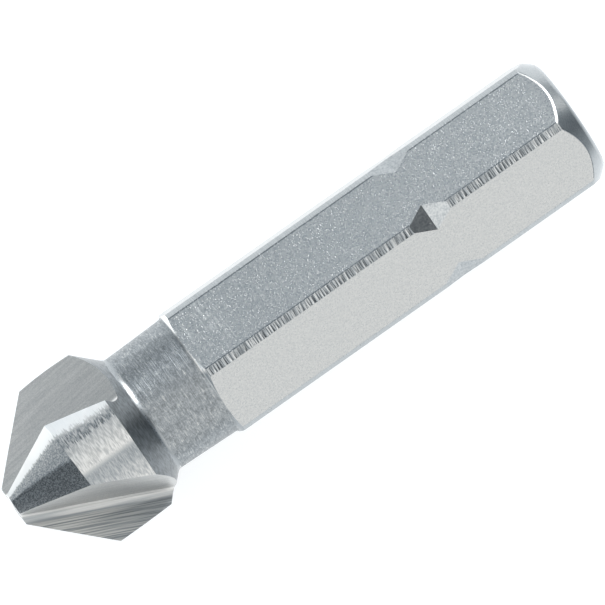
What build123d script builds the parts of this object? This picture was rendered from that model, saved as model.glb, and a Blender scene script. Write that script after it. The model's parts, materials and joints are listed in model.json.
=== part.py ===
from build123d import *
from math import acos, asin, cos, degrees, radians, sin, tan
import os

# Countersink bit: a 90 degree cone with ground flutes on a turned neck, and a
# hexagonal shank with a chamfered end and a V notch across each corner.
#
# It is modelled on its own axis, with the tip face at X = 0 and the shank towards +X.
# Angles about that axis run from +Z towards -Y, and the first cutting edge is at 0.
# The last step lays the finished bit down on its head and its shank end.

# ---- driving dimensions, in millimetres and degrees ----

# whole tool
overall_length = 31.0

# cutting head, from the tip face to the back of its cylinder
head_diameter = 8.3
head_length = 5.96
point_angle = 90.0
tip_diameter = 2.16
back_chamfer_angle = 45.0

# neck, from the head's cylinder to the shank, where it ends a little below the flats
neck_length = 4.39
neck_diameter = 5.98
neck_below_flats = 0.095
neck_fillet = 0.35
neck_root_fillet = 0.2

# flutes, each a straight V groove between a cutting face and the heel of the land before it
flute_count = 3
rake_angle = 13.2
heel_lead_angle = 9.7
heel_slope_angle = 22.7
web_radius_at_tip = 0.62
flute_root_radius = 0.4

# relief behind each cutting edge, ground about an axis that is set over
relief_offset = 0.21

# hexagonal shank, with its sharp corners turned off
hex_across_flats = 6.35
hex_corner_trim = 0.106
hex_corner_angle = 33.7
shoulder_length = 0.16
shoulder_crown = 0.02
end_chamfer_length = 1.0
end_chamfer_angle = 40.0
end_round = 0.5
end_edge_round = 0.16

# retaining notches across the corners
notch_to_end = 8.2
notch_included_angle = 149.0
notch_depth = 0.285

# how far a cutting tool reaches past the surface it cuts
overrun = 0.5

# ---- sizes that follow from them ----

head_radius = head_diameter / 2
tip_radius = tip_diameter / 2
neck_radius = neck_diameter / 2
flute_pitch = 360.0 / flute_count

hex_sides = 6
hex_pitch = 360.0 / hex_sides
flat_radius = hex_across_flats / 2
corner_radius = flat_radius / cos(radians(hex_pitch / 2)) - hex_corner_trim
neck_root_radius = flat_radius - neck_below_flats
notch_root_radius = corner_radius - notch_depth
end_radius = corner_radius - end_chamfer_length * tan(radians(end_chamfer_angle))
cone_ratio = tan(radians(point_angle / 2))
apex_length = tip_radius / cone_ratio
cone_length = (head_radius - tip_radius) / cone_ratio
neck_start = head_length + (head_radius - neck_radius) / tan(radians(back_chamfer_angle))
shank_start = head_length + neck_length
chamfer_start = overall_length - end_chamfer_length

# The cutting face runs through the cone's apex, so its distance from the axis grows evenly.
rake_ratio = sin(radians(rake_angle)) * cone_ratio
heel_ratio = tan(radians(heel_slope_angle))


def around(angle):
    """Unit vector square to the tool axis, at an angle about it."""
    return Vector(0, -sin(radians(angle)), cos(radians(angle)))


def round_corner(outline, corner, radius):
    """Round the corner of a flat outline that lies nearest to a point."""
    return fillet(outline.vertices().sort_by_distance(Vector(*corner))[0], radius)


def turned_blank():
    """The whole bit as it leaves the lathe."""
    neck_end = (shank_start, neck_root_radius)
    shoulder_end = (shank_start + shoulder_length, corner_radius)
    head_and_neck = Polyline(
        (0, 0),
        (0, tip_radius),
        (cone_length, head_radius),
        (head_length, head_radius),
        (neck_start, neck_radius),
        neck_end,
    )
    shoulder = SagittaArc(neck_end, shoulder_end, shoulder_crown)
    shank = Polyline(
        shoulder_end,
        (chamfer_start, corner_radius),
        (overall_length, end_radius),
        (overall_length, 0),
        (0, 0),
    )
    outline = make_face(head_and_neck + shoulder + shank)
    outline = round_corner(outline, (neck_start, neck_radius), neck_fillet)
    outline = round_corner(outline, (shank_start, neck_root_radius), neck_root_fillet)
    outline = round_corner(outline, (overall_length, end_radius), end_round)
    return revolve(outline, Axis.X)


def hex_flat_cutter():
    """Block that mills one flat, with the flat facing +Z, from the root fillet to the end."""
    flat_start = shank_start - neck_root_fillet
    block = Box(
        overall_length - flat_start + overrun,
        hex_across_flats,
        corner_radius - flat_radius + overrun,
        align=(Align.MIN, Align.CENTER, Align.MIN),
    )
    return Pos(flat_start, 0, flat_radius) * block


def notch_cutter():
    """Wedge that cuts the V notch across the corner facing +Z."""
    depth = notch_depth + overrun
    half_width = depth * tan(radians(notch_included_angle / 2))
    notch_position = overall_length - notch_to_end
    section = make_face(
        Polyline(
            (notch_position, notch_root_radius),
            (notch_position + half_width, notch_root_radius + depth),
            (notch_position - half_width, notch_root_radius + depth),
            close=True,
        )
    )
    return extrude(Plane.XZ * section, amount=flat_radius, both=True)


def flute_cutter():
    """Straight V groove in front of the cutting edge at angle 0, rounded at its root."""
    cutting_face_out = Vector(rake_ratio, 0, 0) - around(90 - rake_angle)
    heel_face_out = around(-heel_lead_angle) - Vector(heel_ratio, 0, 0)
    cutting_face = Plane(origin=(-apex_length, 0, 0), z_dir=cutting_face_out)
    heel_face = Plane(origin=around(-heel_lead_angle) * web_radius_at_tip, z_dir=heel_face_out)
    crease = cutting_face.intersect(heel_face)
    middle = (cutting_face.z_dir + heel_face.z_dir).normalized()
    half_angle = asin(middle.dot(heel_face.z_dir))
    start = crease.position - crease.direction * (crease.position.X / crease.direction.X)

    reach = head_diameter
    section = make_face(
        Polyline(
            (0, 0),
            (reach, reach * tan(half_angle)),
            (reach, -reach * tan(half_angle)),
            close=True,
        )
    )
    section = round_corner(section, (0, 0), flute_root_radius)
    across = Plane(origin=start, x_dir=middle, z_dir=crease.direction)
    return extrude(across * section, amount=overall_length, both=True)


def relief_cutter():
    """Conical wheel path that lowers the cone evenly behind the edge at angle 0."""
    first_angle = -20.0
    last_angle = 90.0
    reach = head_diameter
    relief_end = cone_length + relief_offset
    section = make_face(
        Polyline(
            (-apex_length, 0),
            (relief_end, (relief_end + apex_length) * cone_ratio),
            (relief_end, reach),
            (-apex_length, reach),
            close=True,
        )
    )
    sweep_round = revolve(section, Axis.X, revolution_arc=last_angle - first_angle)
    set_over = around(-90) * relief_offset
    return Pos(set_over.X, set_over.Y, set_over.Z) * Rot(X=first_angle + 90) * sweep_round


def mill_shank(bit):
    """Mill the six flats, then notch the corners between them."""
    for side in range(hex_sides):
        corner_angle = hex_corner_angle + side * hex_pitch
        bit -= Rot(X=corner_angle + hex_pitch / 2) * hex_flat_cutter()
        bit -= Rot(X=corner_angle) * notch_cutter()
    return bit


def round_end_edges(bit):
    """Break the curved edges where the flats run out into the end chamfer."""
    edges = bit.edges().filter_by_position(Axis.X, chamfer_start - overrun, overall_length)
    arcs = [edge for edge in edges if edge.geom_type == GeomType.HYPERBOLA]
    return fillet(arcs, end_edge_round)


def grind_head(bit):
    """Relieve the cone and grind the flutes."""
    for flute in range(flute_count):
        bit -= Rot(X=flute * flute_pitch) * relief_cutter()
        bit -= Rot(X=flute * flute_pitch) * flute_cutter()
    return bit


def shank_contact_angle(down_angle):
    """Angle on the nearest corner of the hexagon that reaches lowest."""
    corner_angle = hex_corner_angle + hex_pitch * round((down_angle - hex_corner_angle) / hex_pitch)
    land_half_angle = hex_pitch / 2 - degrees(acos(flat_radius / corner_radius))
    offset = max(-land_half_angle, min(land_half_angle, down_angle - corner_angle))
    return corner_angle + offset


def ground_plane():
    """Plane that the bit lies on: a cutting corner, a heel corner and the shank end touch it."""
    heel_reach = (web_radius_at_tip + head_length * heel_ratio) / head_radius
    heel_angle = -heel_lead_angle - degrees(acos(heel_reach)) - flute_pitch
    cutting_angle = -flute_pitch
    shank_angle = shank_contact_angle((heel_angle + cutting_angle) / 2)
    heel_corner = Vector(head_length, 0, 0) + around(heel_angle) * head_radius
    cutting_corner = Vector(cone_length, 0, 0) + around(cutting_angle) * head_radius
    shank_corner = Vector(chamfer_start, 0, 0) + around(shank_angle) * corner_radius
    up = (cutting_corner - shank_corner).cross(heel_corner - shank_corner).normalized()
    along = Vector(1, 0, 0) - up * up.X
    return Plane(origin=shank_corner, x_dir=along, z_dir=up)


def lay_down(bit):
    """Set the bit on the ground with one flute down, centred over the origin."""
    bit = ground_plane().to_local_coords(bit)
    box = bit.bounding_box()
    return Pos(-box.center().X, -box.center().Y, -box.min.Z) * bit


countersink_bit = lay_down(grind_head(round_end_edges(mill_shank(turned_blank()))))

os.makedirs("parts", exist_ok=True)
export_step(countersink_bit, "parts/countersink_bit.step")
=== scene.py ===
import json
import math
from collections import namedtuple

import bpy
from mathutils import Matrix, Vector

# A countersink bit of ground high speed steel, lying on a pale floor.
# Everything is in metres in the CAD frame. Lengths inside the steel's shader are in millimetres.
# The tip points to -X. In the picture, +Y is the bit's high side and -Y its low side.

MM = 1000.0

# ---- the bit, in millimetres from its tip and degrees about its axis ----

NODE = "countersink_bit"
OVERALL_LENGTH = 31.0
CONE_LENGTH = 3.07
HEAD_LENGTH = 5.96
HEAD_RADIUS = 4.15
NECK_START = 7.12
SHANK_START = 10.35
SHOULDER_END = 10.51
SHOULDER_ROOT_RADIUS = 3.12
NOTCH_PLACE = 22.8
NOTCH_REACH = 1.2
CHAMFER_START = 30.0
HEX_PITCH = 60.0
LAND_EDGE = 26.85
FLUTE_PITCH = 120.0
FIRST_EDGE = -30.7
RAKE = 13.2
HEEL_LEAD = 9.7
HEEL_SLOPE = 22.7

# The flat on the high side, from corner to corner, and its scratched place next to the shoulder.
# Painted shade darkens this flat along its rims.
WORN_AND_SHADED_FLAT = (-57.5, 4.0)
SCRATCHED_ALONG = (10.7, 13.2)
SCRATCHED_ROUND = (-54.0, -4.0)

# How a flute's surfaces lean: 1 is facing the shank's end and -1 facing the tip.
HEEL_FACE_LEAN = (-0.43, -0.34)
ROOT_LEAN = (-0.37, 0.20)
CUTTING_FACE_LEAN = (0.19, 0.26)


def from_edge(angle):
    """Direction square to the axis, at an angle behind a cutting edge, as (along, behind, out)."""
    return Vector((0, math.sin(math.radians(angle)), math.cos(math.radians(angle))))


ALONG = Vector((1, 0, 0))
CUTTING_FACE_OUT = (ALONG * math.sin(math.radians(RAKE)) - from_edge(90 - RAKE)).normalized()
HEEL_FACE_OUT = (from_edge(-HEEL_LEAD) - ALONG * math.tan(math.radians(HEEL_SLOPE))).normalized()
CREASE = HEEL_FACE_OUT.cross(CUTTING_FACE_OUT).normalized()

# ---- its finishes, some with painted light and shade: reflectance of the darkest and brightest grain, roughness, relief in mm ----

Skin = namedtuple("Skin", "dark bright rough relief")
SATIN = Skin(0.445, 0.525, 0.29, 0.0026)
CORNER = Skin(0.27, 0.46, None, 0.10)
NOTCH = Skin(0.29, 0.43, 0.28, None)
# The shoulder's bright tone is a painted highlight on its high side.
SHOULDER = Skin(0.32, 0.95, 0.25, None)
END_CHAMFER = Skin(0.33, 0.43, 0.24, None)
NECK = Skin(0.25, 0.35, 0.42, 0.012)
BACK_CHAMFER = Skin(0.15, 0.28, 0.30, 0.004)
BARREL = Skin(0.43, 0.76, 0.34, 0.005)
# The cylinder's dark ragged streak is painted shade.
STREAK = Skin(0.16, 0.66, None, None)
SLATE = Skin(0.42, 0.47, 0.34, 0.003)
SHADED_SLATE = Skin(0.09, 0.23, None, None)
HEEL = Skin(0.52, 0.57, 0.40, 0.003)
ROOT = Skin(0.34, 0.56, 0.55, None)
CUTTING_FACE = Skin(0.28, 0.64, 0.36, 0.004)

CORNER_TONE = 0.39
# The margins' full reflectance is a painted highlight.
MARGIN_HIGHLIGHT_TONE = 1.0
FILLET_TONE = 0.35
# Tone of the ring's painted highlight; its roughness is that of real polish.
RING_HIGHLIGHT_TONE = 0.55
RING_ROUGH = 0.22
PIT_DEPTH = 0.0035
SHOULDER_ROLL = -0.9
# How far the ragged border of a finish wanders, in degrees.
RAGGED = 9.0
# A slow drift of the ground lines about the axis, in cells to the degree.
FLUTE_DRIFT = 0.001

# Painted reflection of the studio's cool dim light, on the darker steel.
COOL_REFLECTED_TINT = (0.93, 1.0, 1.05)
COOL_LIGHT = (0.86, 1.0, 1.12)
NEUTRAL = (1.0, 1.0, 0.985)

# ---- the picture ----

# Metres, degrees and, for the sensor, millimetres.
CAMERA_DISTANCE = 0.693
PICTURE_WIDTH = 0.02749
SENSOR_WIDTH = 36.0
FLAT_TO_CAMERA = 32.99
CAMERA_LEAN = 3.56
SLOPE_IN_PICTURE = 35.04
AIM_ALONG = 0.016066
AIM_ACROSS = 0.000027

FLOOR_HALF_SIZE = 1.2
FLOOR_SHADE = (0.37, 0.40, 0.42)
# Light of the floor's own, for the camera and for what mirrors it. Mirrors lose it further out.
GLOW_SEEN = 0.72
GLOW_MIRRORED = 0.95
GLOW_FADES = (11.0, 45.0)
HALF_LENGTH = 15.5
PAST_TIP_SCALE = 0.3
PAST_END_SCALE = 2.0

# Light from over the high side and from over the low side, and a lift along the low horizon.
HIGH_SIDE_LIGHT, LOW_SIDE_LIGHT = 0.92, 1.46
HORIZON_HIGH_SIDE, HORIZON_LOW_SIDE = 0.9, 1.2

# Patches of the studio that change its light, each with what mirrors it to the camera: cosines
# from its direction at its edge and at its middle, and the factor there.
Patch = namedtuple("Patch", "towards edge middle factor")
STUDIO_PATCHES = [
    Patch((-0.46, -0.17, 0.87), 0.88, 0.985, 1.55),  # top notch, on its shank side
    Patch((0.56, -0.17, 0.81), 0.90, 0.985, 0.02),  # top notch, on its tip side
    Patch((0.40, 0.20, 0.90), 0.955, 0.99, 1.50),  # a cutting face, and by it the lower heel face
    Patch((0.00, 0.47, 0.88), 0.93, 0.995, 0.30),  # neck and cylinder, above their middle
    Patch((0.00, -0.70, 0.71), 0.95, 0.995, 0.42),  # neck and cylinder, on their low side
    Patch((0.00, 0.86, 0.51), 0.90, 0.99, 0.60),  # flat, neck and cylinder, on their high side
    Patch((0.00, 0.05, 1.00), 0.95, 0.995, 0.70),  # neck and cylinder, along their middle
    Patch((0.85, 0.50, 0.15), 0.88, 0.98, 9.0),  # end chamfer, on its high side
    Patch((0.85, -0.50, 0.15), 0.85, 0.97, 0.55),  # end chamfer and back chamfer, on the low side
    Patch((1.00, 0.00, 0.00), 0.50, 0.90, 0.23),  # end chamfer and back chamfer
    Patch((-1.00, 0.00, 0.00), 0.60, 0.97, 0.34),  # cone and shoulder
    Patch((-0.80, 0.55, 0.22), 0.94, 0.985, 3.0),  # rolled edge of the shoulder
    Patch((-0.48, 0.87, 0.10), 0.85, 0.97, 0.10),  # upper heel face
]

LAMP_TOWARDS = (0.61, 0.61, 0.51)
LAMP_DISTANCE = 0.5
LAMP_SIZE = 0.26
LAMP_WATTS = 1.9


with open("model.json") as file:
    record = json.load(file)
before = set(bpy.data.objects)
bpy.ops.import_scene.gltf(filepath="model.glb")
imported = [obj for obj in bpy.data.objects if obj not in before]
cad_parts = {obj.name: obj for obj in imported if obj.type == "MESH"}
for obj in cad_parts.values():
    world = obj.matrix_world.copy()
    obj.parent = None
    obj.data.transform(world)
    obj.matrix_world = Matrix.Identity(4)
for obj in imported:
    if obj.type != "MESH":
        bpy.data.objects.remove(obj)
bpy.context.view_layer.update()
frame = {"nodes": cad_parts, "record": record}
bit = frame["nodes"][NODE]
mounts = {mount["name"]: mount for mount in frame["record"]["mounts"]}

axis = Vector(mounts["shank_end"]["axis"]).normalized()
end_centre = Vector(mounts["shank_end"]["pos_m"])
tip_centre = end_centre - axis * (OVERALL_LENGTH / MM)
flat_out = Vector(mounts["shank_flat"]["axis"]).normalized()


def turned(direction, angle):
    """Direction turned about the bit's axis by degrees, from its top towards its low side."""
    return Matrix.Rotation(math.radians(angle), 3, axis) @ direction


camera_side = turned(flat_out, -FLAT_TO_CAMERA)
lower_side = turned(camera_side, 90)


# ---- shader arithmetic ----


class Value:
    """A number that varies over a surface, so that shader maths reads as arithmetic."""

    def __init__(self, tree, socket):
        self.tree = tree
        self.socket = socket

    def _plug(self, socket, other):
        if isinstance(other, Value):
            self.tree.links.new(other.socket, socket)
        else:
            socket.default_value = other

    def math(self, operation, *others):
        node = self.tree.nodes.new("ShaderNodeMath")
        node.operation = operation
        self._plug(node.inputs[0], self)
        for socket, other in zip(node.inputs[1:], others):
            self._plug(socket, other)
        return Value(self.tree, node.outputs[0])

    def __add__(self, other):
        return self.math("ADD", other)

    def __sub__(self, other):
        return self.math("SUBTRACT", other)

    def __rsub__(self, other):
        return self * -1.0 + other

    def __mul__(self, other):
        return self.math("MULTIPLY", other)

    def abs(self):
        return self.math("ABSOLUTE")

    def min(self, other):
        return self.math("MINIMUM", other)

    def max(self, other):
        return self.math("MAXIMUM", other)

    def ramp(self, start, end, low=0.0, high=1.0):
        """Smooth step from low at start to high at end."""
        node = self.tree.nodes.new("ShaderNodeMapRange")
        node.interpolation_type = "SMOOTHSTEP"
        self._plug(node.inputs["Value"], self)
        node.inputs["From Min"].default_value = start
        node.inputs["From Max"].default_value = end
        node.inputs["To Min"].default_value = low
        node.inputs["To Max"].default_value = high
        return Value(self.tree, node.outputs["Result"])

    def grain(self, start, end, skin):
        """The reflectance of a skin, darkest at start and brightest at end; over noise it is grain,
        over angles painted light and shade.
        """
        return self.ramp(start, end, skin.dark, skin.bright)

    def mix(self, other, amount):
        """Itself where amount is 0, other where it is 1."""
        return self + (other - self) * amount

    def band(self, start, end, soft):
        """1 between start and end, with soft edges."""
        return self.ramp(start - soft, start + soft) * self.ramp(end + soft, end - soft)


class Shader:
    """Adds the vector and texture nodes of one material or world."""

    def __init__(self, tree):
        self.tree = tree

    def node(self, kind, **settings):
        made = self.tree.nodes.new(kind)
        for name, setting in settings.items():
            setattr(made, name, setting)
        return made

    def dot(self, vector, direction):
        made = self.node("ShaderNodeVectorMath", operation="DOT_PRODUCT")
        self.tree.links.new(vector, made.inputs[0])
        made.inputs[1].default_value = direction
        return Value(self.tree, made.outputs["Value"])

    def vector(self, x, y, z):
        made = self.node("ShaderNodeCombineXYZ")
        for socket, value in zip(made.inputs, (x, y, z)):
            self.tree.links.new(value.socket, socket)
        return made.outputs[0]

    def noise(self, vector, detail, roughness):
        made = self.node("ShaderNodeTexNoise")
        self.tree.links.new(vector, made.inputs["Vector"])
        made.inputs["Scale"].default_value = 1.0
        made.inputs["Detail"].default_value = detail
        made.inputs["Roughness"].default_value = roughness
        return Value(self.tree, made.outputs["Fac"])

    def mix_colours(self, amount, first, second):
        made = self.node("ShaderNodeMix", data_type="RGBA")
        self.tree.links.new(amount.socket, made.inputs["Factor"])
        for name, colour in (("A", first), ("B", second)):
            socket = [s for s in made.inputs if s.name == name and s.type == "RGBA"][0]
            socket.default_value = (*colour, 1.0)
        return [s for s in made.outputs if s.type == "RGBA"][0]

    def steel_tint(self, tone):
        """Steel of a given reflectance, with a painted reflection of the studio's cool dim light:
        cool where it is dark and neutral where it is bright.
        """
        tint = self.mix_colours(tone.ramp(0.25, 0.6), COOL_REFLECTED_TINT, NEUTRAL)
        tinted = self.node("ShaderNodeVectorMath", operation="SCALE")
        self.tree.links.new(tint, tinted.inputs[0])
        self.tree.links.new(tone.socket, tinted.inputs["Scale"])
        return tinted.outputs[0]


# ---- the steel ----


class Bit:
    """Places on the bit as its shader sees them, in millimetres and degrees."""

    def __init__(self, shader):
        self.shader = shader
        tree = shader.tree
        place = shader.node("ShaderNodeTexCoord").outputs["Object"]
        shifted = shader.node("ShaderNodeVectorMath", operation="SUBTRACT")
        tree.links.new(place, shifted.inputs[0])
        shifted.inputs[1].default_value = tip_centre
        scaled = shader.node("ShaderNodeVectorMath", operation="SCALE")
        tree.links.new(shifted.outputs[0], scaled.inputs[0])
        scaled.inputs["Scale"].default_value = MM
        self.x = shader.dot(scaled.outputs[0], axis)
        self.across = shader.dot(scaled.outputs[0], lower_side)
        self.up = shader.dot(scaled.outputs[0], camera_side)
        self.out = (self.across * self.across + self.up * self.up).math("SQRT")
        self.angle = self.across.math("ARCTAN2", self.up) * (180 / math.pi)
        facing = shader.node("ShaderNodeNewGeometry").outputs["True Normal"]
        self.lean = shader.dot(facing, axis)
        self.head = self.x.ramp(NECK_START - 0.12, NECK_START - 0.22)
        self.behind_edge = self.folded(FIRST_EDGE, FLUTE_PITCH, start=-45.0)
        self.speckle = self.texture(13.0, 13.0, roughness=0.7)
        self.flecks = self.texture(15.0, 3.2, roughness=0.6, shift=11.0)
        self.blotches = self.texture(3.0, 3.0, detail=3.0, roughness=0.6, shift=23.0)
        self.turned_lines = self.texture(26.0, 0.7, detail=1.0, shift=83.0) - 0.5

    def folded(self, zero, pitch, start):
        """Angle from the nearest of the directions at zero, zero + pitch and so on, from start up."""
        turns = (self.angle - (zero + start)) * (1 / pitch)
        return (turns - turns.math("FLOOR")) * pitch + start

    def texture(self, along_scale, round_scale, detail=2.0, roughness=0.5, shift=0.0):
        """Noise with its own scale along the bit and across it, in cells to the millimetre."""
        point = self.shader.vector(
            self.x * along_scale + shift, self.across * round_scale, self.up * round_scale
        )
        return self.shader.noise(point, detail, roughness)

    def flute_texture(self, along_scale, cross_scale, detail, shift):
        """Noise drawn out along each flute's crease, as a grinding wheel leaves it."""
        turn = self.folded(FIRST_EDGE, FLUTE_PITCH, start=-95.0) * (math.pi / 180)
        behind = self.out * turn.math("SINE")
        outward = self.out * turn.math("COSINE")
        point = self.shader.vector(self.x, behind, outward)
        drawn_out = self.shader.vector(
            self.shader.dot(point, CREASE) * along_scale + shift,
            self.shader.dot(point, CUTTING_FACE_OUT) * cross_scale,
            self.shader.dot(point, HEEL_FACE_OUT) * cross_scale + self.angle * FLUTE_DRIFT,
        )
        return self.shader.noise(drawn_out, detail, roughness=0.5)


class Finish:
    """Reflectance, roughness and height of the steel, painted over one kind of surface at a time."""

    def __init__(self, tone, rough, height):
        self.tone = tone
        self.rough = rough
        self.height = height

    def paint(self, where, tone, rough=None, height=None):
        self.tone = self.tone.mix(tone, where)
        if rough is not None:
            self.rough = self.rough.mix(rough, where)
        if height is not None:
            self.height = self.height + height * where


def finish_flats(finish, place, flat, from_flat):
    """Finely pitted. The flat on the high side has painted shade along its rims and scratches next to
    the shoulder.
    """
    pits = place.texture(14.0, 14.0, detail=1.0, shift=5.0).ramp(0.60, 0.72)
    finish.height = finish.height + pits * flat * PIT_DEPTH

    worn_and_shaded_flat = flat * place.angle.band(*WORN_AND_SHADED_FLAT, 0.5)
    shaded_rim = from_flat.ramp(LAND_EDGE - 1.15, LAND_EDGE - 0.65)
    scratches = place.texture(9.0, 0.3, roughness=0.6, shift=71.0).ramp(0.52, 0.66)
    scratches = scratches * place.x.band(*SCRATCHED_ALONG, 0.4)
    scratches = scratches * place.angle.band(*SCRATCHED_ROUND, 3.0)
    scratches = scratches * place.blotches.ramp(0.38, 0.58)
    # Painted shade: the flat on the high side is darkened by up to 0.55 along its rims, and lightened
    # where scratched.
    finish.tone = (finish.tone + scratches * worn_and_shaded_flat * 0.20) * (worn_and_shaded_flat * shaded_rim * -0.55 + 1.0)


def finish_corners(finish, place, corner, notch):
    """Turned, with chatter marks in relief all round; on the corner that lies on top their tone is
    painted shade and light.
    """
    ticks = place.texture(8.5, 0.8, detail=1.0, shift=37.0)
    # Painted shade and light: the marks are darkened and lightened only on the corner on top.
    painted_tone_on_top = place.up.ramp(2.5, 3.2)
    marks = ticks.ramp(0.42, 0.58, CORNER.dark - CORNER_TONE, CORNER.bright - CORNER_TONE)
    relief = (ticks - 0.5) * CORNER.relief * (notch * -1.0 + 1.0)
    finish.paint(corner, marks * painted_tone_on_top + CORNER_TONE, height=relief)


def finish_shank(finish, place):
    """Flats between turned corners, coarse notches, a rolled shoulder with a painted highlight on its
    high side, and a turned end.
    """
    x, lean = place.x, place.lean
    from_flat = place.folded(FLAT_TO_CAMERA, HEX_PITCH, start=-HEX_PITCH / 2).abs()
    shank = x.ramp(SHANK_START - 0.01, SHANK_START + 0.01)
    before_chamfer = x.ramp(CHAMFER_START + 0.1, CHAMFER_START - 0.1)
    corner = shank * from_flat.ramp(LAND_EDGE - 0.15, LAND_EDGE + 0.15) * before_chamfer
    flat = shank * from_flat.ramp(LAND_EDGE + 0.15, LAND_EDGE - 0.15) * before_chamfer
    notch = x.band(NOTCH_PLACE - NOTCH_REACH, NOTCH_PLACE + NOTCH_REACH, 0.01)
    notch = notch * lean.abs().ramp(0.1, 0.2)
    shoulder = x.band(SHANK_START - 0.05, SHOULDER_END + 0.05, 0.02) * lean.abs().ramp(0.5, 0.7)
    end_chamfer = x.ramp(CHAMFER_START - 0.05, CHAMFER_START + 0.05) * lean.ramp(0.2, 0.4)

    finish_flats(finish, place, flat, from_flat)
    finish_corners(finish, place, corner, notch)
    finish.paint(end_chamfer, place.speckle.grain(0.2, 0.8, END_CHAMFER), END_CHAMFER.rough)
    grit = place.texture(11.0, 11.0, roughness=0.7, shift=59.0)
    finish.paint(notch, grit.grain(0.36, 0.62, NOTCH), NOTCH.rough)
    rolled = (place.out - SHOULDER_ROOT_RADIUS) * SHOULDER_ROLL
    # Painted highlight: the shoulder's tone is 0.95 on the high side and 0.32 on the low side.
    finish.paint(shoulder, place.angle.grain(4.0, -4.0, SHOULDER), SHOULDER.rough, rolled)


def finish_neck(finish, place):
    """Turned and left dull, with a polished ring at its fillet behind each cutting edge, lightened by
    a painted highlight.
    """
    neck = place.x.ramp(NECK_START - 0.02, NECK_START + 0.14)
    neck = neck * place.x.ramp(SHANK_START + 0.05, SHANK_START - 0.05)
    fillet = place.x.band(NECK_START - 0.12, NECK_START + 0.10, 0.05)
    ring = place.x.band(NECK_START + 0.06, NECK_START + 0.11, 0.03)
    ring = ring * place.behind_edge.band(-15.0, 12.0, 4.0)
    tone = place.flecks.grain(0.30, 0.70, NECK) * place.blotches.ramp(0.3, 0.7, 0.88, 1.12)
    bright_flecks = place.flecks.ramp(0.60, 0.72) * 0.15
    tone = tone + place.speckle.ramp(0.38, 0.66, -0.04, 0.05) + bright_flecks
    finish.paint(neck, tone, NECK.rough, place.turned_lines * NECK.relief)
    finish.paint(fillet, FILLET_TONE)
    # Painted highlight: the ring is much lighter than the neck; its lower roughness is its polish.
    finish.paint(ring, RING_HIGHLIGHT_TONE, RING_ROUGH)


def finish_back_chamfer(finish, place):
    """Finely turned, and dark all round by painted shade."""
    chamfer = place.lean.ramp(0.55, 0.65) * place.x.band(HEAD_LENGTH - 0.06, NECK_START + 0.03, 0.02)
    tone = place.flecks.grain(0.2, 0.8, BACK_CHAMFER)
    finish.paint(chamfer, tone, BACK_CHAMFER.rough, place.turned_lines * BACK_CHAMFER.relief)


def finish_cylinder(finish, place):
    """Land of the head's cylinder, brushed, its tone painted as light and shade: a highlit margin, a
    dark ragged streak, a darker middle, a lighter side by the heel.
    """
    behind_edge, flecks = place.behind_edge, place.flecks
    cylinder = place.out.ramp(HEAD_RADIUS - 0.07, HEAD_RADIUS - 0.04) * place.head
    cylinder = cylinder * place.lean.abs().ramp(0.08, 0.05)
    ragged = (flecks - 0.5) * RAGGED
    past_middle = (behind_edge + ragged).ramp(39.0, 43.0)
    near_heel = behind_edge.ramp(46.0, 56.0)
    in_streak = (behind_edge + ragged * 0.5).ramp(22.5, 20.0)
    margin_width = (place.x * 2.0 + 4.0).min(13.5)
    in_margin = (behind_edge - margin_width + ragged * 1.5).ramp(2.5, -2.5)

    barrel = flecks.grain(0.25, 0.75, BARREL)
    # Painted shade and light: darker past the land's middle, lighter by the heel, a shaded streak, a
    # highlit margin.
    barrel = barrel.mix(barrel * 0.56, past_middle)
    barrel = barrel.mix(barrel * 1.55, near_heel)
    barrel = barrel.mix(flecks.grain(0.3, 0.7, STREAK), in_streak)
    barrel = barrel.mix(MARGIN_HIGHLIGHT_TONE, in_margin)
    finish.paint(cylinder, barrel, BARREL.rough, place.turned_lines * BARREL.relief)


def finish_cone(finish, place):
    """Relieved land of the cone: a margin with a painted highlight, then slate in two steps of
    painted shade, lighter towards the margin.
    """
    behind_edge, speckle = place.behind_edge, place.speckle
    cone = place.lean.ramp(-0.5, -0.6) * place.x.ramp(CONE_LENGTH + 0.23, CONE_LENGTH + 0.13)
    ragged = (place.flecks - 0.5) * RAGGED
    in_dark = (behind_edge - place.x * 2.3 + ragged * 0.3).ramp(19.0, 23.0)
    in_margin = (behind_edge - 10.5 + ragged * 0.8).ramp(1.5, -2.0)

    slate = behind_edge.grain(24.0, 9.0, SLATE) + speckle.ramp(0.38, 0.66, -0.14, 0.16)
    # Painted shade: the second step of the slate, a separate grind, is far darker.
    slate = slate.mix(speckle.grain(0.38, 0.66, SHADED_SLATE), in_dark)
    # Painted highlight: the margin at full reflectance.
    slate = slate.mix(MARGIN_HIGHLIGHT_TONE, in_margin)
    finish.paint(cone, slate, SLATE.rough, place.turned_lines * SLATE.relief)


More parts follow.
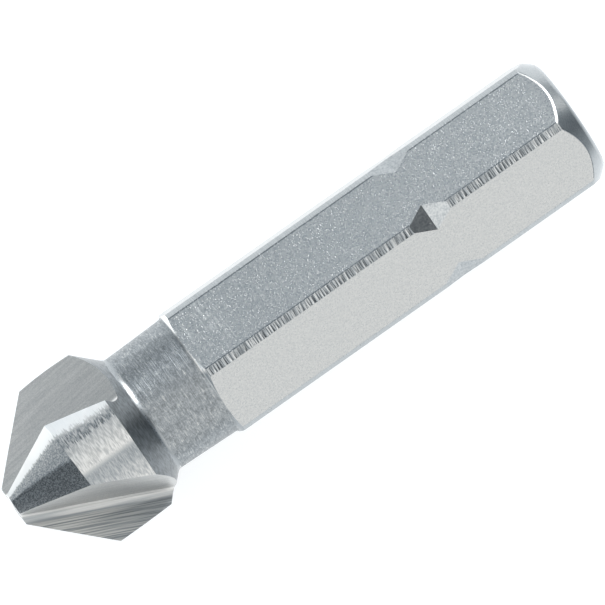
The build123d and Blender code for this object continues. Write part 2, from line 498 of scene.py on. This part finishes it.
def finish_flutes(finish, place):
    """Ground along the flute: fine on the heel face, streaky at the root and on the cutting face."""
    lean, head = place.lean, place.head
    heel_face = lean.band(*HEEL_FACE_LEAN, 0.01) * head
    root = lean.band(*ROOT_LEAN, 0.01) * head
    root = root * place.out.ramp(HEAD_RADIUS - 0.03, HEAD_RADIUS - 0.06)
    cutting_face = lean.band(*CUTTING_FACE_LEAN, 0.01) * head

    fine_lines = place.flute_texture(0.8, 20.0, detail=2.0, shift=51.0)
    broad_lines = place.flute_texture(0.2, 4.0, detail=3.0, shift=17.0)
    heel_tone = fine_lines.grain(0.35, 0.65, HEEL) * broad_lines.ramp(0.32, 0.68, 0.94, 1.06)
    heel_tone = heel_tone + place.speckle.ramp(0.35, 0.65, -0.045, 0.045)
    finish.paint(heel_face, heel_tone, HEEL.rough, (fine_lines - 0.5) * HEEL.relief)

    root_streaks = place.flute_texture(0.2, 5.0, detail=3.0, shift=29.0)
    # Painted light: the root is up to 1.6 times lighter on its heel face's side.
    root_tone = root_streaks.grain(0.35, 0.65, ROOT) * lean.ramp(-0.38, 0.0, 1.6, 1.0)
    finish.paint(root, root_tone, ROOT.rough)

    streaks = place.flute_texture(0.30, 16.0, detail=4.0, shift=3.0)
    # Painted shade: the cutting face darkens along the axis, from 1.12 near the tip to 0.60 of its
    # tone by the neck.
    cutting_tone = streaks.grain(0.34, 0.66, CUTTING_FACE) * place.x.ramp(1.0, 6.5, 1.12, 0.60)
    relief = (streaks - 0.5) * CUTTING_FACE.relief
    finish.paint(cutting_face, cutting_tone, CUTTING_FACE.rough, relief)


def steel_material():
    """Satin all over, with each kind of surface painted in turn."""
    material = bpy.data.materials.new("ground_steel")
    material.use_nodes = True
    tree = material.node_tree
    shader = Shader(tree)
    place = Bit(shader)
    finish = Finish(
        tone=place.speckle.grain(0.35, 0.65, SATIN),
        rough=place.speckle.ramp(0.2, 0.8, SATIN.rough - 0.04, SATIN.rough + 0.04),
        height=(place.speckle - 0.5) * SATIN.relief,
    )
    finish_shank(finish, place)
    finish_neck(finish, place)
    finish_back_chamfer(finish, place)
    finish_cylinder(finish, place)
    finish_cone(finish, place)
    finish_flutes(finish, place)

    surface = tree.nodes["Principled BSDF"]
    surface.inputs["Metallic"].default_value = 1.0
    tree.links.new(shader.steel_tint(finish.tone), surface.inputs["Base Color"])
    tree.links.new(finish.rough.socket, surface.inputs["Roughness"])
    bump = shader.node("ShaderNodeBump")
    bump.inputs["Distance"].default_value = 1 / MM
    tree.links.new(finish.height.socket, bump.inputs["Height"])
    tree.links.new(bump.outputs[0], surface.inputs["Normal"])
    return material


bit.data.materials.clear()
bit.data.materials.append(steel_material())


# ---- floor, light and camera ----


def floor_material():
    """Matt and pale, with light of its own for the camera and for what mirrors it."""
    material = bpy.data.materials.new("pale_floor")
    material.use_nodes = True
    tree = material.node_tree
    tree.nodes.clear()
    shader = Shader(tree)
    matt = shader.node("ShaderNodeBsdfDiffuse")
    matt.inputs["Color"].default_value = (*FLOOR_SHADE, 1.0)

    place = shader.node("ShaderNodeTexCoord").outputs["Object"]
    along = shader.dot(place, (MM, 0, 0))
    beside = shader.dot(place, (0, MM, 0))
    past_tip = (along * -1.0 - HALF_LENGTH).max(0.0) * PAST_TIP_SCALE
    past_end = (along - HALF_LENGTH).max(0.0) * PAST_END_SCALE
    away = (past_tip * past_tip + past_end * past_end + beside * beside).math("SQRT")

    path = shader.node("ShaderNodeLightPath")
    seen = Value(tree, path.outputs["Is Camera Ray"])
    mirrored = Value(tree, path.outputs["Is Glossy Ray"])
    mirrored = mirrored.max(Value(tree, path.outputs["Is Transmission Ray"]))
    strength = seen * GLOW_SEEN + mirrored * away.ramp(*GLOW_FADES, GLOW_MIRRORED, 0.0)
    glow = shader.node("ShaderNodeEmission")
    tree.links.new(strength.socket, glow.inputs["Strength"])

    both = shader.node("ShaderNodeAddShader")
    tree.links.new(matt.outputs[0], both.inputs[0])
    tree.links.new(glow.outputs[0], both.inputs[1])
    out = shader.node("ShaderNodeOutputMaterial")
    tree.links.new(both.outputs[0], out.inputs["Surface"])
    return material


def add_floor():
    mesh = bpy.data.meshes.new("floor")
    h = FLOOR_HALF_SIZE
    mesh.from_pydata([(-h, -h, 0), (h, -h, 0), (h, h, 0), (-h, h, 0)], [], [(0, 1, 2, 3)])
    floor = bpy.data.objects.new("floor", mesh)
    bpy.context.scene.collection.objects.link(floor)
    mesh.materials.append(floor_material())


def add_world():
    """A soft studio, brighter over the low side, with the patches listed above."""
    world = bpy.data.worlds.new("studio")
    bpy.context.scene.world = world
    world.use_nodes = True
    tree = world.node_tree
    shader = Shader(tree)
    background = tree.nodes["Background"]
    direction = shader.node("ShaderNodeTexCoord").outputs["Generated"]
    low_side = shader.dot(direction, (0, -1, 0))
    overhead = shader.dot(direction, (0, 0, 1))
    light = low_side.ramp(-0.7, 0.6, HIGH_SIDE_LIGHT, LOW_SIDE_LIGHT)
    horizon = low_side.ramp(0.0, 0.7, HORIZON_HIGH_SIDE, HORIZON_LOW_SIDE)
    light = light * horizon.mix(1.0, overhead.ramp(0.02, 0.32))
    for patch in STUDIO_PATCHES:
        facing = shader.dot(direction, Vector(patch.towards).normalized())
        light = light * facing.ramp(patch.edge, patch.middle, 1.0, patch.factor)
    colour = shader.mix_colours(light.ramp(0.45, 1.05), COOL_LIGHT, NEUTRAL)
    tree.links.new(colour, background.inputs["Color"])
    tree.links.new(light.socket, background.inputs["Strength"])


def add_lamp():
    """A round soft lamp over the high side, past the shank's end, aimed at the bit."""
    data = bpy.data.lights.new("back_lamp", "AREA")
    data.shape = "DISK"
    data.size = LAMP_SIZE
    data.energy = LAMP_WATTS
    lamp = bpy.data.objects.new("back_lamp", data)
    bpy.context.scene.collection.objects.link(lamp)
    away = Vector(LAMP_TOWARDS).normalized()
    lamp.location = away * LAMP_DISTANCE
    lamp.rotation_mode = "QUATERNION"
    lamp.rotation_quaternion = away.to_track_quat("Z", "Y")


def add_camera():
    """Looks down on the bit from the photo's side, with the bit sloping up to the right."""
    data = bpy.data.cameras.new("camera")
    data.sensor_width = SENSOR_WIDTH
    data.lens = SENSOR_WIDTH * CAMERA_DISTANCE / PICTURE_WIDTH
    camera = bpy.data.objects.new("camera", data)
    bpy.context.scene.collection.objects.link(camera)
    slope = math.radians(SLOPE_IN_PICTURE)
    back = (camera_side - axis * math.tan(math.radians(CAMERA_LEAN))).normalized()
    right = axis * math.cos(slope) + lower_side * math.sin(slope)
    right = (right - back * right.dot(back)).normalized()
    up = back.cross(right)
    aim = tip_centre + axis * AIM_ALONG + lower_side * AIM_ACROSS
    turn = Matrix((right, up, back)).transposed().to_4x4()
    camera.matrix_world = Matrix.Translation(aim + back * CAMERA_DISTANCE) @ turn
    bpy.context.scene.camera = camera


add_floor()
add_world()
add_lamp()
add_camera()
bpy.context.scene.view_settings.view_transform = "Standard"
